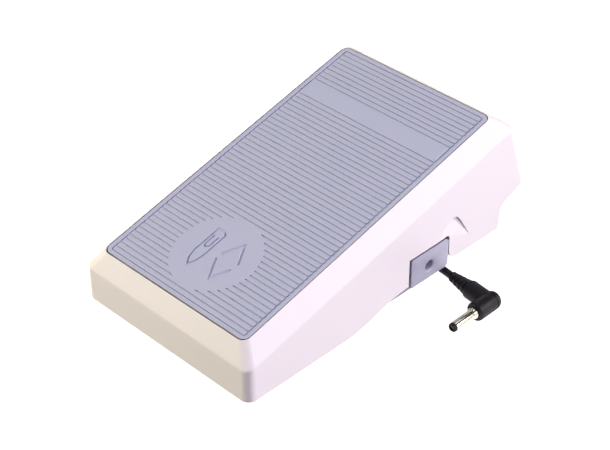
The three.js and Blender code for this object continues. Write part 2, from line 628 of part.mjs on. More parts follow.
function makeBracket() {
  const upright = new THREE.Shape();
  upright.moveTo(PINION_Y - 9, 9);
  upright.lineTo(PINION_Y + 9, 9);
  upright.lineTo(PINION_Y + 7, PIVOT_Z + 6);
  upright.lineTo(PINION_Y + 4, PIVOT_Z + 9);
  upright.lineTo(PINION_Y - 4, PIVOT_Z + 9);
  upright.lineTo(PINION_Y - 7, PIVOT_Z + 6);
  const foot = boxAt([-54.5, -40], [-18.5, -9], [9, 10.2]);
  const web = boxAt(BRACKET_X, [-16, PINION_Y], [9, 13]);
  let bracket = join(foot, web, sideSlab(upright, BRACKET_X));
  bracket = cut(bracket, crossCylinder(3.2, [-50, -46], PINION_Y, PIVOT_Z, 20));
  for (const [x, y] of BRACKET_SCREWS) {
    bracket = cut(bracket, uprightCylinder(SCREW_HOLE, [8, 12], x, y, 8));
  }
  return bracket;
}

function makePotentiometer() {
  const can = crossCylinder(7.6, POT_X, PINION_Y, PIVOT_Z, 28);
  const lugs = boxAt([POT_X[0] + 1, POT_X[0] + 3], [PINION_Y - 5, PINION_Y + 5],
    [PIVOT_Z + 5, PIVOT_Z + 11.5]);
  return cut(join(can, lugs), crossCylinder(2.8, [-52.6, -40], PINION_Y, PIVOT_Z, 20));
}

// ---------- cord and plug ----------
function tube(points, radius, steps, sides = 8) {
  const path = new THREE.CatmullRomCurve3(points.map((p) => new THREE.Vector3(...p)), false, 'centripetal');
  const section = new THREE.Shape();
  section.absarc(0, 0, radius, 0, 2 * Math.PI);
  return new THREE.ExtrudeGeometry(section, {
    steps, bevelEnabled: false, extrudePath: path, curveSegments: sides / 2,
  });
}

const TAIL_START = 19.4;

// Lays a shape on the arm of the plug that holds the cord: its Y becomes the distance from the corner.
function onArm(geometry) {
  return geometry.rotateZ(Math.PI / 2 - PLUG_TURN).translate(PLUG_X, PLUG_CORNER_Y, PLUG_Z);
}

function armPoint(distance) {
  return [PLUG_X - distance * Math.cos(PLUG_TURN), PLUG_CORNER_Y + distance * Math.sin(PLUG_TURN), PLUG_Z];
}

function makeCoil() {
  const inner = COIL_OUTER - (COIL_COLUMNS - 1) * CORD_PITCH - CORD / 2;
  const outer = COIL_OUTER + CORD / 2;
  const low = TAIL_Z - CORD / 2;
  const high = TAIL_Z + (COIL_LAYERS - 1) * CORD_PITCH + CORD / 2;
  const ease = 1.2;
  const profile = [[inner, low], [outer - ease, low], [outer, low + ease], [outer, high - ease],
    [outer - ease, high], [inner, high], [inner, low]].map(([r, z]) => new THREE.Vector2(r, z));
  return new THREE.LatheGeometry(profile, 36).rotateX(Math.PI / 2).translate(0, HUB_Y, 0);
}

function makeTail() {
  return tube([[TAIL_START, TAIL_Y, TAIL_Z], [34, TAIL_Y, TAIL_Z], [48, TAIL_Y, TAIL_Z],
    [58, TAIL_Y, 6.3], armPoint(RELIEF.start + 2), armPoint(RELIEF.start + GAP)], CORD / 2, 16);
}

// Ringed sleeve that widens from the cord to the plug's body.
function makeRelief() {
  const rings = 4;
  const step = (RELIEF.start - RELIEF.end) / rings;
  const groove = 0.5;
  const points = [[0, RELIEF.start]];
  for (let i = 0; i < rings; i += 1) {
    const wide = 2.9 + 0.42 * i;
    const from = RELIEF.start - i * step;
    points.push([wide, from], [wide + 0.25, from - 0.66 * step]);
    points.push([wide - groove, from - 0.7 * step], [wide - groove, from - 0.98 * step]);
  }
  points.push([4.5, RELIEF.end], [0, RELIEF.end]);
  return onArm(new THREE.LatheGeometry(points.reverse().map(([r, d]) => new THREE.Vector2(r, d)), 16));
}

// Angled moulding: one arm on the cord, one around the barrel with a collar and a cap behind.
function makePlugBody() {
  const cap = PLUG_CORNER_Y + PLUG_RADIUS;
  const edge = 0.8;
  const barrelArm = latheAlongY([[0, BODY_FRONT], [PLUG_RADIUS - edge, BODY_FRONT],
    [PLUG_RADIUS, BODY_FRONT + edge], [PLUG_RADIUS, cap - 4.6], [PLUG_RADIUS - 0.4, cap - 4.3],
    [PLUG_RADIUS - 0.4, cap - 3.7], [PLUG_RADIUS - 0.1, cap - 3.4], [PLUG_RADIUS - 0.6, cap - 0.9],
    [3.2, cap + 0.6], [0, cap + 1]], 24);
  const cordArm = onArm(new THREE.LatheGeometry([[0, 0], [PLUG_RADIUS - 0.1, 0],
    [PLUG_RADIUS - 0.1, RELIEF.end - GAP - edge], [PLUG_RADIUS - edge, RELIEF.end - GAP],
    [0, RELIEF.end - GAP]].map(([r, d]) => new THREE.Vector2(r, d)), 20));
  return join(barrelArm, cordArm);
}

function latheAlongY(profile, sides = 20) {
  return new THREE.LatheGeometry(profile.map(([r, y]) => new THREE.Vector2(r, y)), sides)
    .translate(PLUG_X, 0, PLUG_Z);
}

function makeBarrel() {
  const { tip, radius, bore } = BARREL;
  const back = BODY_FRONT - GAP;
  return latheAlongY([[0, back - 1], [bore, back - 1], [bore, tip], [radius - 0.15, tip],
    [radius, tip + 0.2], [radius, back - 1.2], [radius + 0.5, back - 0.9], [radius + 0.5, back], [0, back]]);
}

const CONTACT_RADIUS = 1.1;

function makeInsulator() {
  const { tip, radius, bore } = BARREL;
  const end = tip - 1.7;
  const rim = radius - 0.1;
  const inner = CONTACT_RADIUS + 0.15;
  const back = BODY_FRONT - 3.4;
  return latheAlongY([[inner, end], [rim - 0.4, end], [rim, end + 0.4], [rim, tip - GAP],
    [bore - 0.1, tip - GAP], [bore - 0.1, back], [inner, back], [inner, end]]);
}

// Hollow centre contact, open at the tip.
function makeContact() {
  const end = BARREL.tip - 0.8;
  const back = BODY_FRONT - 2.4;
  const bore = CONTACT_RADIUS - 0.35;
  return latheAlongY([[bore, end], [CONTACT_RADIUS, end], [CONTACT_RADIUS, back], [0, back], [0, back - 2],
    [bore, back - 2], [bore, end]], 14);
}

// ---------- assembly ----------
addMesh('pedal_cover', toGeometry(makeCover()), 'shell');
addMesh('tread_pad', makePad(), 'pad');
addMesh('base_pan', toGeometry(makeBase()), 'base');
addMesh('plug_parking_plate', toGeometry(makePlate()), 'plate');
PLATE_SCREW_Z.forEach((z, i) => {
  makeScrew(`parking_plate_screw_${i + 1}`, [BASE_HALF - 2.5, PLATE_SCREW_Y, z], [1, 0, 0], 4.6, 1, 2);
});

for (const [place, [x, y]] of Object.entries(FEET)) {
  const foot = [[0, 0], [6.6, 0], [7.2, 0.6], [7, FLOOR_CLEAR - GAP], [FOOT_STEM, FLOOR_CLEAR - GAP],
    [FOOT_STEM, BASE_TOP + GAP], [3.4, BASE_TOP + GAP], [2, 9.6], [0, 9.6]];
  const lathe = new THREE.LatheGeometry(foot.map(([r, z]) => new THREE.Vector2(r, z)), 16);
  addMesh(`rubber_foot_${place}`, lathe.rotateX(Math.PI / 2).translate(x, y, 0), 'rubber');
}

for (const side of [1, -1]) {
  const place = side > 0 ? 'right' : 'left';
  const [towerIn] = TOWER;
  const pin = [[0, towerIn - 2.2], [3.6, towerIn - 2.2], [4.3, towerIn - 1.6], [4.3, towerIn - GAP],
    [PIVOT_RADIUS, towerIn - GAP], [PIVOT_RADIUS, EAR[1] - 0.9], [PIVOT_RADIUS - 0.6, EAR[1] - 0.3],
    [0, EAR[1] - 0.3]].map(([r, x]) => new THREE.Vector2(r, x));
  const pinMesh = addMesh(`pivot_pin_${place}`, new THREE.LatheGeometry(pin, 16), 'steel');
  pinMesh.rotation.z = side > 0 ? -Math.PI / 2 : Math.PI / 2;
  pinMesh.position.set(0, PIVOT_Y, PIVOT_Z);

  const bore = PIVOT_RADIUS + SLIP;
  const bush = [[bore, EAR[0] - 0.7], [5.6, EAR[0] - 0.7], [5.6, EAR[0] - 0.1], [BUSH_OUTER, EAR[0] - 0.1],
    [BUSH_OUTER, EAR[1]], [bore, EAR[1]], [bore, EAR[0] - 0.7]].map(([r, x]) => new THREE.Vector2(r, x));
  const bushMesh = addMesh(`pivot_bush_${place}`, new THREE.LatheGeometry(bush, 16), 'brass');
  bushMesh.rotation.z = pinMesh.rotation.z;
  bushMesh.position.copy(pinMesh.position);

  makeSpring(`toe_spring_${place}`, TOE_SPRING, side, 4);
  makeSpring(`heel_spring_${place}`, HEEL_SPRING, side, 4);
  for (const [name, stop] of [['toe_stop', TOE_STOP], ['heel_stop', HEEL_STOP]]) {
    addMesh(`${name}_${place}`,
      uprightCylinder(STOP_RADIUS, [BASE_TOP + GAP, stop.high], side * stop.x, stop.y, 16, 4), 'rubber');
  }
}

addMesh('sector_gear', toGeometry(makeSector()), 'gear');
SECTOR_SCREWS.forEach(([y, z], i) => {
  makeScrew(`sector_screw_${i + 1}`, [SECTOR_X[0] - GAP, y, z], [1, 0, 0], 6, 1, 2.2);
});
addMesh('pot_pinion', toGeometry(makePinion()), 'gear');
addMesh('potentiometer_body', toGeometry(makePotentiometer()), 'component');
addMesh('pot_bracket', toGeometry(makeBracket()), 'steel');
BRACKET_SCREWS.forEach(([x, y], i) => makeScrew(`bracket_screw_${i + 1}`, [x, y, 10.5], [0, 0, -1], 4.6));

let board = toSolid(boxAt([-BOARD.x, BOARD.x], [BOARD.front, BOARD.rear], [BOARD.z, BOARD.z + 1.6]));
for (const [x, y] of BOARD_HOLES) {
  board = cut(board, uprightCylinder(SCREW_HOLE, [BOARD.z - 1, BOARD.z + 3], x, y, 8));
}
addMesh('circuit_board', toGeometry(board), 'board');
BOARD_HOLES.forEach(([x, y], i) => makeScrew(`board_screw_${i + 1}`, [x, y, BOARD.z + 1.9], [0, 0, -1], 5.6));
const onBoard = BOARD.z + 1.6 + GAP;
addMesh('board_capacitor', uprightCylinder(4, [onBoard, onBoard + 9], -14, -66, 20), 'component');
addMesh('board_connector', boxAt([-6, 6], [-55, -50], [onBoard, onBoard + 6]), 'gear');
addMesh('board_chip', boxAt([6, 18], [-74, -66], [onBoard, onBoard + 1.8]), 'component');

addMesh('cord_grommet', grommetBlock(0), 'rubber');
const innerRoute = [[-5.6, 17.4, 15.6], [-4.4, 14.5, 19.6], [-2, 8, 24], [0, 0, 25.2], [0, -12, 25.2],
  [0, -20, 24.8], [0, -27, 20], [0, -31, 14.8], [0, -35, 12.5], [0, -40, 12.9], [0, -45, 15],
  [0, -49.4, 15.4]];
addMesh('inner_cord', tube(innerRoute, 2, 24), 'cord');
const clampBar = cut(toSolid(boxAt([-12, 12], [-38.5, -33.5], [10.8, 16.6])),
  boxAt([-3, 3], [-40, -30], [9, 15.7]),
  ...CLAMP_SCREWS.map(([x, y]) => uprightCylinder(SCREW_HOLE, [9, 18], x, y, 8)));
addMesh('cord_clamp', toGeometry(clampBar), 'component');
CLAMP_SCREWS.forEach(([x, y], i) => makeScrew(`clamp_screw_${i + 1}`, [x, y, 16.9], [0, 0, -1], 9));

const flangeTop = FLOOR_CLEAR - GAP;
const flange = cut(toSolid(uprightCylinder(24, [flangeTop - FLANGE_THICK, flangeTop], 0, HUB_Y, 28)),
  uprightCylinder(SCREW_HOLE, [0, 5], 0, HUB_Y, 12), uprightCylinder(3, [0, flangeTop - 1], 0, HUB_Y, 16));
addMesh('winding_flange', toGeometry(flange), 'base');
makeScrew('flange_screw', [0, HUB_Y, flangeTop - 1 - GAP], [0, 0, 1], 6.5);

addMesh('cord_coil', makeCoil(), 'cord');
addMesh('cord_tail', makeTail(), 'cord');
addMesh('plug_strain_relief', makeRelief(), 'plug');
addMesh('plug_body', toGeometry(makePlugBody()), 'plug');
addMesh('plug_barrel', makeBarrel(), 'nickel');
addMesh('plug_insulator', makeInsulator(), 'plug');
addMesh('plug_contact', makeContact(), 'brass');

const CENTRING = (FRONT_Y + REAR_LIP.y) / 2;
assembly.position.y = -CENTRING;

export default assembly;
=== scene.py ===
import json
import math

import bmesh
import bpy
from mathutils import Matrix, Vector


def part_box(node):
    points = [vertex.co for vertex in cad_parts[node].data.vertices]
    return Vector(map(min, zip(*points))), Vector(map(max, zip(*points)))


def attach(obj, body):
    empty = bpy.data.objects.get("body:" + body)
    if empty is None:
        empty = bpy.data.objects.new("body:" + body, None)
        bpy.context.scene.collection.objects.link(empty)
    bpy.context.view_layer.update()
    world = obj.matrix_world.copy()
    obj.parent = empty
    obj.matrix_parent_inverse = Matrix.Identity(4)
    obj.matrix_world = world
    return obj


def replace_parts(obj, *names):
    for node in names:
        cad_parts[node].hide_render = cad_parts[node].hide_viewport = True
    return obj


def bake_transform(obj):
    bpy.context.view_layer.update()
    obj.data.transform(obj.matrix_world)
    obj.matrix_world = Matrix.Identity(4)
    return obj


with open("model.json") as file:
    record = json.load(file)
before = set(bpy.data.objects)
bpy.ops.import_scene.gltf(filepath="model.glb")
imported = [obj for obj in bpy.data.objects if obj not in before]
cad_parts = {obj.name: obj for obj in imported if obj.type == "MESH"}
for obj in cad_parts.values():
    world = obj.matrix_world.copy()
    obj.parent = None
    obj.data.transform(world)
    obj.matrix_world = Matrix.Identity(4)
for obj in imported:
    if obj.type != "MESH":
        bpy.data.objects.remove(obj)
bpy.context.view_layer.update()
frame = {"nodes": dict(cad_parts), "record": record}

MM = 0.001
CENTRING = 2                      # the frame's origin lies this far along Y in the drawing


def mm(point):
    """A point of the drawing as a place in the frame of the part, in metres."""
    return (Vector(point) - Vector((0, CENTRING, 0))) * MM


# ---------- sizes, the CAD model's own where it has them ----------
# u is the distance along the pad from its heel edge, n the height square to it
PAD_LENGTH = 190
PAD_HALF = 53.5
PAD_SLOPE = math.radians(14.41)
PAD_FRONT = (-99.05, 36)          # y and z of the pad's heel edge
PAD_CORNER = 4
PAD_THICK = 2.4
PAD_GAP = 0.625                   # between the pad and the side of its recess
PAD_HEEL_GAP = 0.3                # what the pad's heel edge stands back more
PAD_UNDERCUT = 0.9
RIB_HEIGHT = 0.65
RIB_PITCHES = 55
RIB_SHARE = 0.8                   # of the pitch, the rest is groove
RIM_GROOVE = 0.7                  # between the pad's rim and the ribs' ends
PAD_RIM = 2.7
BLANK_BAND = (43, 47)             # rib places left smooth near the toe
DISC = {"x": -0.8, "u": 33.2, "radius": 25.6}

HALF_WIDTH = 63
FRONT_Y = -105.65
TOP_RIM = 1.0                     # of the cover around the pad
BEVEL_OUT = 9.4                   # from the pad's edge to the crease, along the pad
BEVEL_DROP = 10                   # and square to it
REAR_LIP = (109.65, 37.1)         # y and z
WALL = 2.6
CAVITY_TOP = 5.2                  # from the pad's top down to the cavity
CAVITY_CREASE = 1.3               # from the cover's crease down to the cavity's
COVER_CORNER = 5.5
SKIRT_LOW = 4                     # height of the skirt's edge at the heel
SKIRT_REAR = 12.9                 # and behind
PLATE = {"front": 14.45, "rear": 44.3, "high": 29.1}
# y and z of the scoop's edge, and how fast its floor sinks away from the line between the edge's ends
SCOOP = {"slope": 0.17, "from": (36.5, 30.5), "peak": (48.8, 40.7), "to": (62, 22.3)}

CORD = 4.5
CORD_PITCH = 4.6                  # from turn to turn and from layer to layer
HUB_Y = 14.2
TAIL_Y = 44
TAIL_Z = 6.6
PLUG_X = 96.5
PLUG_Z = 5.6
PLUG_RADIUS = 5.5
PLUG_CORNER_Y = 40
PLUG_TURN = math.radians(7)       # the arm on the cord is turned this far off square
RELIEF = {"start": 29, "end": 15.6}     # distances from the plug's corner
BODY_FRONT = 28.1                 # y of the moulding's face around the barrel
BARREL_TIP = 11.4                 # y


# ---------- camera, fitted to the corners of the pad ----------
CAMERA_AT = (0.5181, -0.5272, 0.5688)
CAMERA_DOWN = 36.24               # degrees that it looks down
CAMERA_TURN = 44.74               # degrees that it is turned from looking along +Y
CAMERA_LENS = 98.8                # on a sensor 36 wide


def make_camera():
    camera = bpy.data.objects.new("camera", bpy.data.cameras.new("camera"))
    bpy.context.scene.collection.objects.link(camera)
    camera.location = CAMERA_AT
    camera.rotation_euler = (math.radians(90 - CAMERA_DOWN), 0, math.radians(CAMERA_TURN))
    camera.data.sensor_width = 36
    camera.data.lens = CAMERA_LENS
    bpy.context.scene.camera = camera


make_camera()


# ---------- mesh tools ----------
def new_object(name, mesh):
    obj = bpy.data.objects.new(name, mesh)
    bpy.context.scene.collection.objects.link(obj)
    return obj


def mesh_from(name, points, faces):
    """A mesh object from points in millimetres."""
    mesh = bpy.data.meshes.new(name)
    mesh.from_pydata([mm(p) for p in points], [], faces)
    mesh.update()
    return new_object(name, mesh)


def settle(obj):
    """Turns the object's modifiers into its mesh."""
    bpy.context.view_layer.update()
    graph = bpy.context.evaluated_depsgraph_get()
    mesh = bpy.data.meshes.new_from_object(obj.evaluated_get(graph))
    obj.modifiers.clear()
    obj.data = mesh
    return obj


def combine(obj, other, operation):
    """Joins, cuts or intersects obj with other, which is used up."""
    step = obj.modifiers.new("combine", "BOOLEAN")
    step.operation = operation
    step.solver = "MANIFOLD"
    step.object = other
    settle(obj)
    bpy.data.objects.remove(other)
    return obj


def join(obj, *others):
    """Adds the others to obj."""
    for other in others:
        combine(obj, other, "UNION")
    return obj


def cut(obj, *others):
    """Takes the others away from obj."""
    for other in others:
        combine(obj, other, "DIFFERENCE")
    return obj


def clean(obj, merge=0.002, flat=0.3):
    """Welds points that touch and joins flat neighbouring faces."""
    mesh = bmesh.new()
    mesh.from_mesh(obj.data)
    bmesh.ops.remove_doubles(mesh, verts=mesh.verts, dist=merge * MM)
    bmesh.ops.dissolve_limit(mesh, angle_limit=math.radians(flat), verts=mesh.verts, edges=mesh.edges)
    bmesh.ops.recalc_face_normals(mesh, faces=mesh.faces)
    mesh.to_mesh(obj.data)
    mesh.free()
    return obj


def soften(obj, width, segments=2, angle=32):
    """Rounds the sharp edges by a real fillet of that width."""
    bevel = obj.modifiers.new("edge", "BEVEL")
    bevel.width = width * MM
    bevel.segments = segments
    bevel.limit_method = "ANGLE"
    bevel.angle_limit = math.radians(angle)
    bevel.use_clamp_overlap = True
    bevel.miter_outer = "MITER_ARC"
    return settle(obj)


def shade(obj, angle=35):
    """Shades smooth over edges that bend by less than the angle."""
    obj.data.shade_smooth()
    obj.data.set_sharp_from_angle(angle=math.radians(angle))
    return obj


def flatten(obj):
    """Keeps large flat faces flat next to their small rounded edges."""
    step = obj.modifiers.new("normals", "WEIGHTED_NORMAL")
    step.keep_sharp = True
    return settle(obj)


def rounded_outline(a_range, b_range, radius, steps=10):
    """Points of a rounded rectangle, counter-clockwise."""
    (a0, a1), (b0, b1) = a_range, b_range
    corners = ((a1 - radius, b0 + radius, -90), (a1 - radius, b1 - radius, 0),
               (a0 + radius, b1 - radius, 90), (a0 + radius, b0 + radius, 180))
    points = []
    for a, b, start in corners:
        for i in range(steps + 1):
            turn = math.radians(start + 90 * i / steps)
            points.append((a + radius * math.cos(turn), b + radius * math.sin(turn)))
    return points


def loft(name, rings):
    """Closed skin through rings of equal counts, top ring first, each counter-clockwise from above."""
    count = len(rings[0])
    faces = [tuple(range(count))]
    for r in range(len(rings) - 1):
        for i in range(count):
            following = (i + 1) % count
            top, low = r * count, (r + 1) * count
            faces.append((top + i, low + i, low + following, top + following))
    last = (len(rings) - 1) * count
    faces.append(tuple(last + i for i in reversed(range(count))))
    return mesh_from(name, [p for ring in rings for p in ring], faces)


def slab_along_x(name, outline, x_range):
    """An outline in (y, z), counter-clockwise seen from +X, made solid between two x."""
    x0, x1 = x_range
    return loft(name, [[(x1, y, z) for y, z in outline], [(x0, y, z) for y, z in outline]])


ON_AXIS = 1e-6                    # a radius below this is a point on the axis


def turned(name, profile, place_at, steps=48):
    """A solid of revolution. The profile holds (radius, distance along the axis), and place_at turns two
    coordinates square to the axis and the distance along it into x, y, z."""
    points, faces, rows = [], [], []
    for radius, along in profile:
        if radius < ON_AXIS:
            rows.append([len(points)] * steps)
            points.append(place_at(0, 0, along))
            continue
        rows.append(list(range(len(points), len(points) + steps)))
        for i in range(steps):
            turn = 2 * math.pi * i / steps
            points.append(place_at(radius * math.cos(turn), radius * math.sin(turn), along))
    closed = profile[0][0] > ON_AXIS and profile[-1][0] > ON_AXIS
    pairs = list(zip(rows, rows[1:])) + ([(rows[-1], rows[0])] if closed else [])
    for row, following in pairs:
        for i in range(steps):
            j = (i + 1) % steps
            face = list(dict.fromkeys((row[i], row[j], following[j], following[i])))
            if len(face) > 2:
                faces.append(face)
    obj = mesh_from(name, points, faces)
    mesh = bmesh.new()
    mesh.from_mesh(obj.data)
    bmesh.ops.recalc_face_normals(mesh, faces=mesh.faces)
    mesh.to_mesh(obj.data)
    mesh.free()
    return obj


def bezier(points, steps=8):
    """Places along a flat Bezier curve through its first and last point, without the first one."""
    result = []
    order = len(points) - 1
    for i in range(1, steps + 1):
        t = i / steps
        shares = [math.comb(order, k) * (1 - t) ** (order - k) * t ** k for k in range(order + 1)]
        result.append(tuple(sum(share * p[axis] for share, p in zip(shares, points)) for axis in (0, 1)))
    return result


# ---------- materials ----------
class Paint:
    """A procedural material, built up by small steps on one Principled shader."""

    def __init__(self, name, colour, roughness, metallic=0.0, specular=0.5, coat=0.0):
        self.material = bpy.data.materials.new(name)
        self.material.use_nodes = True
        self.nodes = self.material.node_tree.nodes
        self.links = self.material.node_tree.links
        self.shader = self.nodes["Principled BSDF"]
        self.shader.inputs["Base Color"].default_value = (*colour, 1)
        self.shader.inputs["Roughness"].default_value = roughness
        self.shader.inputs["Metallic"].default_value = metallic
        self.shader.inputs["Specular IOR Level"].default_value = specular
        self.shader.inputs["Coat Weight"].default_value = coat
        self.colour = colour
        self.roughness = roughness
        self.place = self.nodes.new("ShaderNodeTexCoord").outputs["Object"]
        self.normal = None

    def noise(self, size, detail=4.0, stretch=None):
        """Noise whose blobs are about `size` millimetres across, optionally stretched per axis."""
        place = self.place
        if stretch:
            mapping = self.nodes.new("ShaderNodeMapping")
            mapping.inputs["Scale"].default_value = stretch
            self.links.new(place, mapping.inputs["Vector"])
            place = mapping.outputs["Vector"]
        node = self.nodes.new("ShaderNodeTexNoise")
        node.inputs["Scale"].default_value = 1 / (size * MM)
        node.inputs["Detail"].default_value = detail
        self.links.new(place, node.inputs["Vector"])
        return node.outputs["Fac"]

    def facing(self, direction):
        """1 on faces that look along the direction, 0 on those square to it."""
        node = self.nodes.new("ShaderNodeVectorMath")
        node.operation = "DOT_PRODUCT"
        self.links.new(self.nodes.new("ShaderNodeTexCoord").outputs["Normal"], node.inputs[0])
        node.inputs[1].default_value = direction
        return node.outputs["Value"]

    def ramp(self, value, low, high, at=(0.35, 0.65)):
        """Goes from low to high while value goes from at[0] to at[1]."""
        node = self.nodes.new("ShaderNodeMapRange")
        node.inputs["From Min"].default_value = at[0]
        node.inputs["From Max"].default_value = at[1]
        node.inputs["To Min"].default_value = low
        node.inputs["To Max"].default_value = high
        self.links.new(value, node.inputs["Value"])
        return node.outputs["Result"]

    def tint(self, value, other, amount, at=(0.35, 0.65)):
        """Mixes another colour in where value is high."""
        mix = self.nodes.new("ShaderNodeMix")
        mix.data_type = "RGBA"
        self.links.new(self.ramp(value, 0, amount, at), mix.inputs["Factor"])
        socket = self.shader.inputs["Base Color"]
        if socket.is_linked:
            self.links.new(socket.links[0].from_socket, mix.inputs["A"])
        else:
            mix.inputs["A"].default_value = (*self.colour, 1)
        mix.inputs["B"].default_value = (*other, 1)
        self.links.new(mix.outputs["Result"], socket)
        return self

    def polish(self, value, spread, at=(0.35, 0.65)):
        """Lets the roughness wander by the spread."""
        result = self.ramp(value, self.roughness - spread, self.roughness + spread, at)
        self.links.new(result, self.shader.inputs["Roughness"])
        return self

    def bump(self, value, height, strength=1.0):
        """Relief of that height in millimetres, on top of earlier relief."""
        node = self.nodes.new("ShaderNodeBump")
        node.inputs["Distance"].default_value = height * MM
        node.inputs["Strength"].default_value = strength
        self.links.new(value, node.inputs["Height"])
        if self.normal:
            self.links.new(self.normal, node.inputs["Normal"])
        self.normal = node.outputs["Normal"]
        self.links.new(self.normal, self.shader.inputs["Normal"])
        return self


def painted_crevice_shade(paint, reach, other, amount, low=0.55, high=0.25):
    """Painted shade: an ambient occlusion node darkens gaps and corners narrower than the reach, in
    millimetres, towards the other colour, standing in for the shade that falls in them.
    """
    node = paint.nodes.new("ShaderNodeAmbientOcclusion")
    node.inputs["Distance"].default_value = reach * MM
    return paint.tint(node.outputs["AO"], other, amount, (low, high))


def worn_and_highlit_edges(paint, other, amount, low=0.52, high=0.60):
    """Edges that hands and shoes have rubbed paler or darker; a paler colour on the convex edges that the
    mesh's pointiness finds is also a painted highlight.
    """
    geometry = paint.nodes.new("ShaderNodeNewGeometry")
    return paint.tint(geometry.outputs["Pointiness"], other, amount, (low, high))


def make_shell_paint():
    paint = Paint("shell_plastic", (0.905, 0.850, 0.875), 0.45, specular=0.40)
    paint.tint(paint.noise(60, 3), (0.915, 0.855, 0.855), 0.5)
    paint.tint(paint.noise(2.2, 8), (0.82, 0.76, 0.77), 0.10, (0.52, 0.75))
    # paler convex edges: rubbed wear and a painted highlight
    worn_and_highlit_edges(paint, (0.93, 0.88, 0.90), 0.35)
    # painted shade: gaps and corners within 2 mm darkened almost to black
    painted_crevice_shade(paint, 2.0, (0.05, 0.045, 0.05), 0.9)
    paint.polish(paint.noise(9, 5), 0.05)
    paint.bump(paint.noise(0.45, 3), 0.012, 0.7)
    return paint.bump(paint.noise(14, 2), 0.02, 0.35).material


def make_pad_paint():
    paint = Paint("pad_vinyl", (0.458, 0.477, 0.645), 0.52, specular=0.42)
    paint.tint(paint.noise(35, 4), (0.475, 0.49, 0.65), 0.6)
    paint.tint(paint.noise(1.4, 8), (0.37, 0.38, 0.52), 0.18, (0.5, 0.8))
    # painted shade: the steep sides of ribs, strokes and rim, which turn away from the pad's up direction,
    # are darkened
    upright_for_painted_shade = paint.facing((0, -math.sin(PAD_SLOPE), math.cos(PAD_SLOPE)))
    paint.tint(upright_for_painted_shade, (0.28, 0.28, 0.40), 0.2, (0.6, 0.2))
    # painted shade: gaps and grooves within 4 mm darkened almost to black
    painted_crevice_shade(paint, 4.0, (0.03, 0.025, 0.03), 1.0, 0.38, 0.28)
    paint.polish(paint.noise(6, 6), 0.07)
    paint.bump(paint.noise(0.32, 2), 0.014, 0.7)
    return paint.bump(paint.noise(1.1, 4), 0.012, 0.5).material


def make_plastic(name, colour, roughness, grain=0.5, height=0.01, specular=0.45):
    paint = Paint(name, colour, roughness, specular=specular)
    pale = tuple(min(1, 1.12 * c + 0.004) for c in colour)
    dark = tuple(0.82 * c for c in colour)
    paint.tint(paint.noise(25, 4), pale, 0.5)
    paint.tint(paint.noise(1.6, 8), dark, 0.25, (0.5, 0.8))
    # paler convex edges: rubbed wear and a painted highlight
    worn_and_highlit_edges(paint, pale, 0.4)
    # painted shade: gaps and corners within 4 mm darkened to a tenth of the colour
    painted_crevice_shade(paint, 4.0, tuple(0.08 * c for c in colour), 0.95, 0.6, 0.35)
    paint.polish(paint.noise(5, 5), 0.06)
    return paint.bump(paint.noise(grain, 3), height, 0.7).material


def make_rubber():
    paint = Paint("rubber", (0.030, 0.030, 0.032), 0.78, specular=0.35)
    paint.tint(paint.noise(4, 8), (0.065, 0.062, 0.06), 0.5)
    paint.polish(paint.noise(2, 5), 0.1)
    return paint.bump(paint.noise(0.35, 4), 0.02, 0.8).material


def make_metal(name, colour, roughness, lines=(1, 1, 1), height=0.004):
    paint = Paint(name, colour, roughness, metallic=1.0)
    paint.tint(paint.noise(3, 6), tuple(0.8 * c for c in colour), 0.35)
    paint.polish(paint.noise(0.4, 4, lines), 0.06)
    return paint.bump(paint.noise(0.3, 3, lines), height, 0.6).material


def make_laminate():
    paint = Paint("board_laminate", (0.035, 0.17, 0.07), 0.35, specular=0.5, coat=0.3)
    paint.tint(paint.noise(1.2, 2, (1, 0.15, 1)), (0.05, 0.24, 0.10), 0.8, (0.48, 0.56))
    paint.tint(paint.noise(12, 3), (0.02, 0.12, 0.05), 0.5)
    return paint.bump(paint.noise(1.2, 2, (1, 0.15, 1)), 0.02, 0.6).material


MATERIALS = {
    "shell_plastic": make_shell_paint(),
    "pad_vinyl": make_pad_paint(),
    "base_plastic": make_plastic("base_plastic", (0.27, 0.27, 0.33), 0.5),
    "plate_plastic": make_plastic("plate_plastic", (0.41, 0.41, 0.51), 0.42, 0.4, 0.008),
    "steel": make_metal("steel", (0.62, 0.63, 0.66), 0.32, (1, 1, 6)),
    "rubber": make_rubber(),
    "brass": make_metal("brass", (0.66, 0.50, 0.22), 0.3),
    "gear_plastic": make_plastic("gear_plastic", (0.78, 0.76, 0.69), 0.45, 0.6),
    "component_plastic": make_plastic("component_plastic", (0.04, 0.045, 0.055), 0.5, 0.4),
    "board_laminate": make_laminate(),
    "cord_jacket": make_plastic("cord_jacket", (0.014, 0.012, 0.014), 0.5, 0.3, 0.012),
    "plug_plastic": make_plastic("plug_plastic", (0.009, 0.007, 0.010), 0.52, 0.25, 0.01, 0.24),
    "nickel": make_metal("nickel", (0.70, 0.64, 0.51), 0.22, (1, 1, 1), 0.0004),
}


def dress(obj, slot):
    """Gives a piece the material kept for the record's slot."""
    obj.data.materials.clear()
    obj.data.materials.append(MATERIALS[slot])
    return obj


def place(obj, body, slot, *nodes):
    """Finishes a piece: its material, the body it rides on and the CAD nodes it stands for."""
    dress(obj, slot)
    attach(obj, body)
    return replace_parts(obj, *nodes)


BODY_OF = {node: body for body, nodes in frame["record"]["behaviour"]["bodies"].items() for node in nodes}
SLOT_OF = {part["node"]: part["material_slot"] for part in frame["record"]["subparts"]}


def copy_of(node, name):
    """A working copy of a CAD node's mesh, welded and with its flat faces joined."""
    obj = new_object(name, frame["nodes"][node].data.copy())
    obj.data.materials.clear()
    return clean(obj)


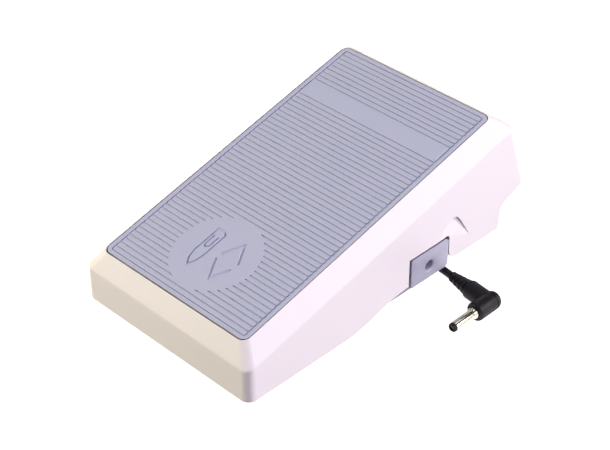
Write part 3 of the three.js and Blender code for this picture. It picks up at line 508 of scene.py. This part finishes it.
# ---------- cord ----------
COIL_TURNS = 11                   # whole turns, in three layers
COIL_INNER = 16                   # radius of the innermost turns
GROMMET_RADIUS = 13.8             # where the cord leaves the hub
GROMMET_BEARING = 150             # degrees
JOG = 36                          # arc over which a turn steps to the next place, degrees
TURN_POINTS = 24


def eased(angle, start):
    """0 before the arc that starts there, 1 after it, smooth between."""
    t = min(1, max(0, (angle - start) / JOG))
    return t * t * (3 - 2 * t)


def coil_point(angle):
    """Place on the winding after turning that many degrees: out on the top layer, in on the middle one and
    out again on the low one. Each layer steps on an arc of its own, so that no turn runs into another."""
    radius = GROMMET_RADIUS + (COIL_INNER - GROMMET_RADIUS) * eased(angle, 0)
    radius += sum(CORD_PITCH * eased(angle, 360 * k - JOG) for k in (1, 2, 3))
    radius -= sum(CORD_PITCH * eased(angle, 360 * k - 3 * JOG) for k in (5, 6, 7))
    radius += sum(CORD_PITCH * eased(angle, 360 * k - 5 * JOG) for k in (9, 10, 11))
    layers_down = eased(angle, 360 * 4 - 2 * JOG) + eased(angle, 360 * 8 - 4 * JOG)
    height = TAIL_Z + (2 - layers_down) * CORD_PITCH
    bearing = math.radians(GROMMET_BEARING - angle)
    return (radius * math.cos(bearing), HUB_Y + radius * math.sin(bearing), height)


def cord_route():
    """The winding, which ends on the toe side of the hub, and the tail from there to the plug."""
    last = 360 * COIL_TURNS + GROMMET_BEARING - 90
    count = round(last * TURN_POINTS / 360)
    wound = [coil_point(last * i / count) for i in range(count)]
    tail = [(0, TAIL_Y, TAIL_Z), (9, TAIL_Y, TAIL_Z), (19.4, TAIL_Y, TAIL_Z), (34, TAIL_Y, TAIL_Z),
            (48, TAIL_Y, TAIL_Z), (58, TAIL_Y, 6.3),
            along_tail(0, 0, RELIEF["start"] + 2), along_tail(0, 0, RELIEF["start"] - 2)]
    return wound + tail


def make_cord():
    route = cord_route()
    curve = bpy.data.curves.new("cord", "CURVE")
    curve.dimensions = "3D"
    curve.bevel_depth = CORD / 2 * MM
    curve.bevel_resolution = 5
    curve.resolution_u = 4
    curve.use_fill_caps = True
    spline = curve.splines.new("BEZIER")
    spline.bezier_points.add(len(route) - 1)
    for knot, point in zip(spline.bezier_points, route):
        knot.co = mm(point)
        knot.handle_left_type = knot.handle_right_type = "AUTO"
    return new_object("cord", curve)


# ---------- plug ----------
def along_y(a, b, distance):
    """A place by its distance along the barrel's axis."""
    return (PLUG_X + a, distance, PLUG_Z + b)


def along_tail(a, b, distance):
    """A place by its distance from the plug's corner along the arm that holds the cord."""
    return (PLUG_X - distance * math.cos(PLUG_TURN) + a * math.sin(PLUG_TURN),
            PLUG_CORNER_Y + distance * math.sin(PLUG_TURN) + a * math.cos(PLUG_TURN), PLUG_Z + b)


def make_relief():
    """Sleeve with moulded rings that widens from the cord to the plug's body."""
    start, end = RELIEF["start"], RELIEF["end"]
    rings, first_radius, growth = 4, 2.9, 0.42
    step = (start - end) / rings
    profile = [(0, start), (2.6, start)]
    for i in range(rings):
        wide = first_radius + growth * i
        from_corner = start - i * step
        profile += [(wide - 0.1, from_corner - 0.1), (wide + 0.1, from_corner - 0.35),
                    (wide + 0.25, from_corner - 0.60 * step), (wide + 0.12, from_corner - 0.70 * step),
                    (wide - 0.5, from_corner - 0.78 * step), (wide - 0.5, from_corner - 0.96 * step)]
    profile += [(4.5, end + 0.1), (4.5, end), (0, end)]
    return shade(turned("plug_sleeve", profile, along_tail), 50)


def make_plug_body():
    """Angled moulding: one arm on the cord, one around the barrel with a groove and a cap behind."""
    radius = PLUG_RADIUS
    cap = PLUG_CORNER_Y + radius
    face = [(0, BODY_FRONT), (radius - 0.8, BODY_FRONT), (radius - 0.25, BODY_FRONT + 0.3),
            (radius, BODY_FRONT + 0.9)]
    groove = [(radius, cap - 4.6), (radius - 0.5, cap - 4.4), (radius - 0.5, cap - 3.7),
              (radius - 0.05, cap - 3.5)]
    back = [(radius - 0.15, cap - 2.2), (radius - 0.6, cap - 0.9), (4.0, cap + 0.1), (2.6, cap + 0.8),
            (0, cap + 1)]
    body = turned("plug_moulding", face + groove + back, along_y, 64)
    front = RELIEF["end"] - 0.3
    arm = turned("arm", [(0, front), (radius - 0.7, front), (radius - 0.25, front - 0.2),
                         (radius - 0.1, front - 0.7), (radius - 0.1, 0), (0, 0)], along_tail, 64)
    join(body, arm)
    melt = body.modifiers.new("melt", "REMESH")
    melt.mode = "VOXEL"
    melt.voxel_size = 0.22 * MM
    smooth = body.modifiers.new("smooth", "SMOOTH")
    smooth.factor = 0.5
    smooth.iterations = 4
    settle(body)
    return shade(body, 180)


def make_barrel():
    """Metal sleeve of the plug, with a wider foot in the moulding."""
    front = BARREL_TIP
    back = BODY_FRONT - 0.3
    return shade(turned("plug_sleeve_metal", [
        (2.15, back - 1), (2.15, front + 0.15), (2.3, front), (2.6, front), (2.75, front + 0.2),
        (2.75, back - 2.0), (2.85, back - 1.7), (3.15, back - 1.3), (3.3, back - 0.8), (3.3, back),
        (2.3, back)], along_y, 64), 40)


def make_insulator():
    """Black ring between the sleeve and the contact."""
    tip = BARREL_TIP
    back = BODY_FRONT - 3.4
    return shade(turned("plug_tip_ring", [
        (1.25, tip - 1.5), (1.4, tip - 1.7), (2.1, tip - 1.7), (2.45, tip - 1.55), (2.62, tip - 1.2),
        (2.65, tip - 0.3), (2.05, tip - 0.3), (2.05, back), (1.25, back)], along_y, 48), 40)


def make_contact():
    """Tube inside the insulator, open at the tip and closed at the back."""
    tip = BARREL_TIP - 0.8
    back = BODY_FRONT - 2.4
    return shade(turned("plug_centre_contact", [
        (0.75, back - 2), (0.75, tip + 0.15), (0.85, tip), (1.0, tip), (1.1, tip + 0.15), (1.1, back),
        (0, back), (0, back - 2)], along_y, 32), 40)


def make_lead():
    """The cord with its sleeve and plug."""
    cord = make_cord()
    cord.data.materials.append(MATERIALS["cord_jacket"])
    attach(cord, "base")
    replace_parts(cord, "cord_coil", "cord_tail")
    pieces = [
        place(make_relief(), "base", "plug_plastic", "plug_strain_relief"),
        place(make_plug_body(), "base", "plug_plastic", "plug_body"),
        place(make_barrel(), "base", "nickel", "plug_barrel"),
        place(make_insulator(), "base", "plug_plastic", "plug_insulator"),
        place(make_contact(), "base", "brass", "plug_contact"),
    ]
    mm(coil_point(0))


make_lead()


# ---------- the sloping frame of the pad ----------
def on_pad(x, u, n):
    """The place of x across, u along and n square to the pad."""
    y = PAD_FRONT[0] + u * math.cos(PAD_SLOPE) - n * math.sin(PAD_SLOPE)
    z = PAD_FRONT[1] + u * math.sin(PAD_SLOPE) + n * math.cos(PAD_SLOPE)
    return (x, y, z)


def pad_loft(name, levels):
    """A loft in the pad's frame from (outline, n) levels, top first."""
    return loft(name, [[on_pad(x, u, n) for x, u in outline] for outline, n in levels])


# ---------- tread pad ----------
# (inset, n) from the top to just under the floor of the grooves
RIB_EDGE = [(0.62, 0), (0.38, -0.03), (0.19, -0.10), (0.07, -0.22), (0, -0.42), (0, -RIB_HEIGHT - 0.05)]
RIB_CORNER = 0.8
DISC_EDGE = [(0.3, 0.015), (0.08, -0.08), (0, -0.3), (0, -RIB_HEIGHT - 0.03)]
DISC_STEPS = 96


def make_rib(x_range, u_range):
    """A raised block with rounded top edges."""
    (x0, x1), (u0, u1) = x_range, u_range
    levels = []
    for inset, n in RIB_EDGE:
        across, along = (x0 + inset, x1 - inset), (u0 + inset, u1 - inset)
        levels.append((rounded_outline(across, along, RIB_CORNER - inset, 3), n))
    return pad_loft("rib", levels)


def make_disc():
    """The smooth disc under the pictogram, a hair above the ribs' tops."""
    turns = [2 * math.pi * i / DISC_STEPS for i in range(DISC_STEPS)]
    levels = []
    for inset, n in DISC_EDGE:
        radius = DISC["radius"] - inset
        outline = [(DISC["x"] + radius * math.cos(t), DISC["u"] + radius * math.sin(t)) for t in turns]
        levels.append((outline, n))
    return pad_loft("disc", levels)


def merged(name, pieces):
    """One object that holds all the pieces' meshes."""
    mesh = bmesh.new()
    for piece in pieces:
        mesh.from_mesh(piece.data)
        bpy.data.objects.remove(piece)
    obj = new_object(name, bpy.data.meshes.new(name))
    mesh.to_mesh(obj.data)
    mesh.free()
    return obj


def make_ribs():
    """All ribs, and the smooth band as one wide rib."""
    pitch = (PAD_LENGTH - 2 * PAD_RIM) / RIB_PITCHES
    half = pitch * RIB_SHARE / 2
    reach = PAD_HALF - PAD_RIM - RIM_GROOVE / 2
    ribs = []
    for i in range(RIB_PITCHES):
        if BLANK_BAND[0] <= i < BLANK_BAND[1]:
            continue
        middle = PAD_RIM + (i + 0.5) * pitch
        ribs.append(make_rib((-reach, reach), (middle - half, middle + half)))
    first, last = BLANK_BAND[0] + 0.5, BLANK_BAND[1] - 0.5
    ribs.append(make_rib((-reach, reach), (PAD_RIM + first * pitch - half, PAD_RIM + last * pitch + half)))
    return merged("ribs", ribs)


# engraved strokes of the pictogram, from one (x, u) to another
STROKE_DEPTH = 0.7
NEEDLE = [[(-12.8, 46.4), (-12.8, 28.4)], [(-12.8, 28.4), (-11.6, 23.4)], [(-11.6, 23.4), (-8.8, 19.0)],
          [(-12.8, 46.4), (-7.4, 46.4)], [(-7.4, 46.4), (-5.8, 44.8)], [(-5.8, 44.8), (-5.8, 28.4)],
          [(-5.8, 28.4), (-6.6, 23.4)], [(-6.6, 23.4), (-8.8, 19.0)]]
NEEDLE_EYE = [[(-11.0, 41.4), (-11.0, 34.6)], [(-11.0, 34.6), (-9.4, 33.0)], [(-9.4, 33.0), (-7.9, 34.6)],
              [(-7.9, 34.6), (-7.9, 41.4)]]
ARROWS = [[(2.0, 35.0), (8.0, 46.0)], [(8.0, 46.0), (14.2, 35.0)],
          [(1.6, 30.6), (8.2, 18.6)], [(8.2, 18.6), (13.8, 29.0)]]


def make_stroke(ends, width):
    """A cutter for one straight engraved stroke with round ends and sloping sides."""
    (x0, u0), (x1, u1) = ends
    heading = math.atan2(u1 - u0, x1 - x0)

    def capsule(radius):
        points = []
        for cx, cu, start in ((x1, u1, heading - math.pi / 2), (x0, u0, heading + math.pi / 2)):
            for i in range(9):
                turn = start + math.pi * i / 8
                points.append((cx + radius * math.cos(turn), cu + radius * math.sin(turn)))
        return points

    half = width / 2
    return pad_loft("stroke", [(capsule(half + 0.25), 0.3), (capsule(half), -0.02),
                               (capsule(half * 0.75), -STROKE_DEPTH * 0.8),
                               (capsule(half * 0.4), -STROKE_DEPTH)])


# (inset, n) down the pad's outer side
PAD_SIDE = [(0.35, 0), (0.15, -0.05), (0.04, -0.16), (0, -0.34),
            (PAD_UNDERCUT, -0.8), (PAD_UNDERCUT, -PAD_THICK)]
# (inset from the rim, corner radius, n) of the pocket that holds the ribs
POCKET_SIDE = [(-0.5, 1.9, 0.4), (-0.12, 1.7, -0.02), (0.05, 1.6, -0.22), (0.08, 1.6, -RIB_HEIGHT)]


def make_pad():
    """The mat with its rim, ribs, band, disc and engraved pictogram."""
    def outline(inset, corner):
        across, along = (-PAD_HALF + inset, PAD_HALF - inset), (inset + PAD_HEEL_GAP, PAD_LENGTH - inset)
        return rounded_outline(across, along, corner, 24)

    pad = pad_loft("tread_mat", [(outline(inset, PAD_CORNER - inset), n) for inset, n in PAD_SIDE])
    rim = PAD_RIM - RIM_GROOVE / 2
    pocket = pad_loft("pocket", [(outline(rim + inset, corner), n) for inset, corner, n in POCKET_SIDE])
    cut(pad, pocket)
    join(pad, make_ribs(), make_disc())
    for strokes, width in ((NEEDLE, 1.2), (NEEDLE_EYE, 1.0), (ARROWS, 1.9)):
        for ends in strokes:
            cut(pad, make_stroke(ends, width))
    return shade(clean(pad, merge=0.001, flat=0.05), 6)


place(make_pad(), "cover", "pad_vinyl", "tread_pad")


# ---------- cover ----------
FILLET_STEPS = 6


def cover_levels(inset, top_drop, crease_drop, fillet):
    """Rings of the cover's outside (inset 0) or of its cavity, top first."""
    _, crease_y, crease_z = on_pad(0, PAD_LENGTH + BEVEL_OUT, -BEVEL_DROP)
    rear_at_floor = crease_y + crease_z * (REAR_LIP[0] - crease_y) / (crease_z - REAR_LIP[1])
    half = HALF_WIDTH - inset
    bevel_inset = inset * 0.75
    half_top = PAD_HALF + TOP_RIM - bevel_inset
    top_u = (-TOP_RIM + bevel_inset, PAD_LENGTH + TOP_RIM - bevel_inset)
    crease_u = (-BEVEL_OUT + inset, PAD_LENGTH + BEVEL_OUT - inset)
    corner = COVER_CORNER - inset * 0.6
    top = rounded_outline((-half_top, half_top), top_u, PAD_CORNER + TOP_RIM)
    crease = rounded_outline((-half, half), crease_u, corner)
    bottom = rounded_outline((-half, half), (FRONT_Y + inset, rear_at_floor - inset), corner)
    top = [Vector(on_pad(x, u, -top_drop)) for x, u in top]
    crease = [Vector(on_pad(x, u, -crease_drop)) for x, u in crease]
    bottom = [Vector((x, y, -inset)) for x, y in bottom]
    rings = [top]
    steps = FILLET_STEPS if fillet else 0
    for i in range(steps + 1):
        t = i / steps if steps else 0
        ring = []
        for upper, middle, lower in zip(top, crease, bottom):
            before = middle + (upper - middle).normalized() * fillet
            after = middle + (lower - middle).normalized() * fillet
            ring.append(before * (1 - t) ** 2 + middle * 2 * t * (1 - t) + after * t * t)
        rings.append(ring)
    rings.append(bottom)
    return rings


BEYOND = 80                       # x that a cutter across the whole cover reaches to


def skirt_cutter():
    """What is taken away below the skirt: low at the heel, raised behind, stepped under the toe."""
    edge = [(-130, -12), (135, -12), (135, 39), (110.4, 39)]
    edge += bezier([(110.4, 39), (110.2, 36.9), (108.2, 36)])
    edge += [(91.4, 28.3)] + bezier([(91.4, 28.3), (88.6, 26.9), (88.3, 24.2)])
    edge += [(87.4, SKIRT_REAR), (12, SKIRT_REAR)]
    edge += bezier([(12, SKIRT_REAR), (0, SKIRT_REAR - 0.6), (-18, 6.6)], 12)
    edge += bezier([(-18, 6.6), (-28, SKIRT_LOW), (-36.5, SKIRT_LOW)], 10)
    edge += [(-130, SKIRT_LOW)]
    return slab_along_x("skirt", edge, (-BEYOND, BEYOND))


def rear_step():
    """What the cavity leaves solid under the raised toe."""
    outline = [(84.8, -20), (140, -20), (140, 53), (106.5, 38.2), (90, 30.6), (85.7, 25.5)]
    return slab_along_x("rear_step", outline, (-BEYOND, BEYOND))


def plate_notch():
    """Room for the parking plate in the cover's side, rounded into the skirt's edge behind it."""
    front, rear, top = PLATE["front"] - 1.7, PLATE["rear"] + 0.8, PLATE["high"] + 1.2
    skirt = rear + 8.3
    corner = 2
    edge = [(front, 0), (skirt, 0), (skirt, SKIRT_REAR)]
    edge += bezier([(skirt, SKIRT_REAR), (rear + 0.5, SKIRT_REAR), (rear, 20.5)], 10)
    edge += [(rear, top - corner)]
    edge += bezier([(rear, top - corner), (rear, top), (rear - corner, top)], 5)
    edge += [(front, top)]
    return slab_along_x("notch", edge, (HALF_WIDTH - 6, HALF_WIDTH + 6))


def thumb_scoop():
    """Shallow scoop that runs out along a straight line and is deepest under its curved edge."""
    start, peak, end = SCOOP["from"], SCOOP["peak"], SCOOP["to"]
    edge = [start] + bezier([start, (40, 38), (45, 41.2), peak], 12)
    edge += bezier([peak, (52.3, 39.9), (55.5, 33.2), end], 12)
    tool = slab_along_x("scoop", edge[::-1], (0, 8))
    along = Vector((end[0] - start[0], end[1] - start[1])).normalized()
    per_y, per_z = SCOOP["slope"] * along.y, -SCOOP["slope"] * along.x
    origin = mm((HALF_WIDTH, *start))
    shift = origin.x - per_y * origin.y - per_z * origin.z
    tool.data.transform(Matrix(((1, per_y, per_z, shift), (0, 1, 0, 0), (0, 0, 1, 0), (0, 0, 0, 1))))
    return tool


def pad_recess():
    """Shallow pocket of the cover that the pad lies in."""
    outline = rounded_outline((-PAD_HALF - PAD_GAP, PAD_HALF + PAD_GAP), (-PAD_GAP, PAD_LENGTH + PAD_GAP),
                              PAD_CORNER + PAD_GAP)
    return pad_loft("recess", [(outline, 1), (outline, -PAD_THICK - 0.3)])


def make_cover():
    """The shell, drawn finely outside, with the CAD model's own bosses and seats inside."""
    cover = cut(loft("cover_shell", cover_levels(0, 0, BEVEL_DROP, 1.0)), skirt_cutter())
    cavity = loft("cavity", cover_levels(WALL, CAVITY_TOP, BEVEL_DROP + CAVITY_CREASE, 0))
    cut(cover, cut(cavity, rear_step()))
    # the inside reaches a little into the wall, so that the two join without a gap
    inner = loft("inner", cover_levels(WALL - 0.5, CAVITY_TOP - 0.5, BEVEL_DROP + CAVITY_CREASE - 0.4, 0))
    join(cover, combine(copy_of("pedal_cover", "cover_inside"), inner, "INTERSECT"))
    cut(cover, pad_recess(), plate_notch(), thumb_scoop())
    return cover


cover = clean(make_cover(), merge=0.002, flat=0.05)
soften(cover, width=0.2)
flatten(shade(cover, 30))
place(cover, "cover", "shell_plastic", "pedal_cover")


# ---------- pieces that keep their CAD shape, with rounded edges ----------
EDGE_WIDTH = {
    "base_pan": 0.4, "winding_flange": 0.3, "plug_parking_plate": 0.35, "sector_gear": 0.1,
    "pot_pinion": 0.08, "potentiometer_body": 0.3, "pot_bracket": 0.2, "board_capacitor": 0.5,
    "board_connector": 0.25, "board_chip": 0.2, "cord_clamp": 0.4, "cord_grommet": 0.4,
}
OTHER_EDGE = 0.12
PIN_SHARE = 0.985                 # of the CAD pin's thickness


def slim(pin):
    """Takes a hair off the pin all round, so that its facets turn freely in those of the bush."""
    ys = [vertex.co.y for vertex in pin.data.vertices]
    zs = [vertex.co.z for vertex in pin.data.vertices]
    y, z = (min(ys) + max(ys)) / 2, (min(zs) + max(zs)) / 2
    for vertex in pin.data.vertices:
        vertex.co.y = y + (vertex.co.y - y) * PIN_SHARE
        vertex.co.z = z + (vertex.co.z - z) * PIN_SHARE


def make_refined():
    """All nodes but the springs and those that a piece above stands for, which it has hidden."""
    for node in sorted(frame["nodes"]):
        if frame["nodes"][node].hide_render or "spring" in node:
            continue
        piece = copy_of(node, node + "_piece")
        if node.startswith("pivot_pin"):
            slim(piece)
        soften(piece, EDGE_WIDTH.get(node, OTHER_EDGE))
        shade(piece, 32)
        place(piece, BODY_OF[node], SLOT_OF[node], node)


make_refined()


# ---------- springs ----------
SPRING_WIRE = 0.65                # radius of the wire
SPRING_TURNS = 6.5
STEPS_PER_TURN = 32
WIRE_SIDES = 12
CLOSED_TURNS = 0.9                # at each end, where the coil climbs less
CLOSED_CLIMB = 0.42               # of the climb of the turns between


def climb_shares():
    """How far up the spring each step along its wire lies, from 0 to 1."""
    steps = int(SPRING_TURNS * STEPS_PER_TURN)
    heights = [0]
    for i in range(steps):
        from_end = min(i, steps - i)
        heights.append(heights[-1] + (CLOSED_CLIMB if from_end < CLOSED_TURNS * STEPS_PER_TURN else 1.0))
    return [height / heights[-1] for height in heights]


def make_spring(node):
    """A wound spring with closed end turns, stretched between the base and the cover."""
    low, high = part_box(node)
    centre = (low + high) / 2 / MM + Vector((0, CENTRING, 0))
    reach = (high.x - low.x) / 2 / MM - SPRING_WIRE
    bottom, top = low.z / MM + SPRING_WIRE, high.z / MM - SPRING_WIRE
    shares = climb_shares()
    points, faces = [], []
    for i, share in enumerate(shares):
        turn = 2 * math.pi * i / STEPS_PER_TURN
        z = bottom + (top - bottom) * share
        for k in range(WIRE_SIDES):
            around = 2 * math.pi * k / WIRE_SIDES
            radius = reach + SPRING_WIRE * math.cos(around)
            points.append((centre.x + radius * math.cos(turn), centre.y + radius * math.sin(turn),
                           z + SPRING_WIRE * math.sin(around)))
    for i in range(len(shares) - 1):
        a, b = i * WIRE_SIDES, (i + 1) * WIRE_SIDES
        for k in range(WIRE_SIDES):
            following = (k + 1) % WIRE_SIDES
            faces.append((a + k, b + k, b + following, a + following))
    faces.append(tuple(reversed(range(WIRE_SIDES))))
    faces.append(tuple(range(len(points) - WIRE_SIDES, len(points))))
    spring = shade(mesh_from(node + "_wire", points, faces), 60)
    dress(spring, "steel")
    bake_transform(spring)
    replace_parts(spring, node)


for node in sorted(frame["nodes"]):
    if "spring" in node:
        make_spring(node)


# ---------- floor and light ----------
FLOOR_REACH = 3000
LIGHT_DISTANCE = 1.6              # metres, as are all of a light's sizes
LIGHT_SIZE = 0.8
LIGHTS = [                        # name, azimuth, elevation, watts, colour
    ("key", 135, 25, 16.1, (1.0, 0.98, 0.935)),
    ("side", 90, 30, 15.9, (0.91, 0.81, 1.0)),
    ("warm", -45, 25, 24.0, (1.0, 0.934, 0.748)),
    ("top", 45, 85, 3.4, (0.85, 0.98, 1.0)),
    ("back", 225, 45, 1.4, (0.95, 1.0, 0.75)),
]


def make_floor():
    """A sheet of paper that glows softly, so that it stays white under faint lights."""
    far = FLOOR_REACH
    corners = [(-far, -far, 0), (far, -far, 0), (far, far, 0), (-far, far, 0)]
    floor = mesh_from("floor", corners, [(0, 1, 2, 3)])
    paint = Paint("floor_paper", (0.93, 0.93, 0.93), 0.9, specular=0.1)
    paint.shader.inputs["Emission Color"].default_value = (1, 1, 1, 1)
    paint.shader.inputs["Emission Strength"].default_value = 1.0
    floor.data.materials.append(paint.material)
    floor.visible_diffuse = False


def make_light(name, azimuth, elevation, power, colour):
    """A round soft light that shines on the origin."""
    light = bpy.data.lights.new(name, "AREA")
    light.shape = "DISK"
    light.size = LIGHT_SIZE
    light.energy = power
    light.color = colour
    lamp = new_object(name, light)
    a, e = math.radians(azimuth), math.radians(elevation)
    heading = Vector((math.sin(a) * math.cos(e), -math.cos(a) * math.cos(e), math.sin(e)))
    lamp.location = heading * LIGHT_DISTANCE
    lamp.rotation_euler = (-lamp.location).to_track_quat("-Z", "Y").to_euler()


def make_world():
    world = bpy.data.worlds.new("studio")
    world.use_nodes = True
    background = world.node_tree.nodes["Background"]
    background.inputs["Color"].default_value = (1.0, 0.985, 0.99, 1)
    background.inputs["Strength"].default_value = 0.01
    bpy.context.scene.world = world


make_floor()
make_world()
for light in LIGHTS:
    make_light(*light)
bpy.context.scene.view_settings.view_transform = "Standard"
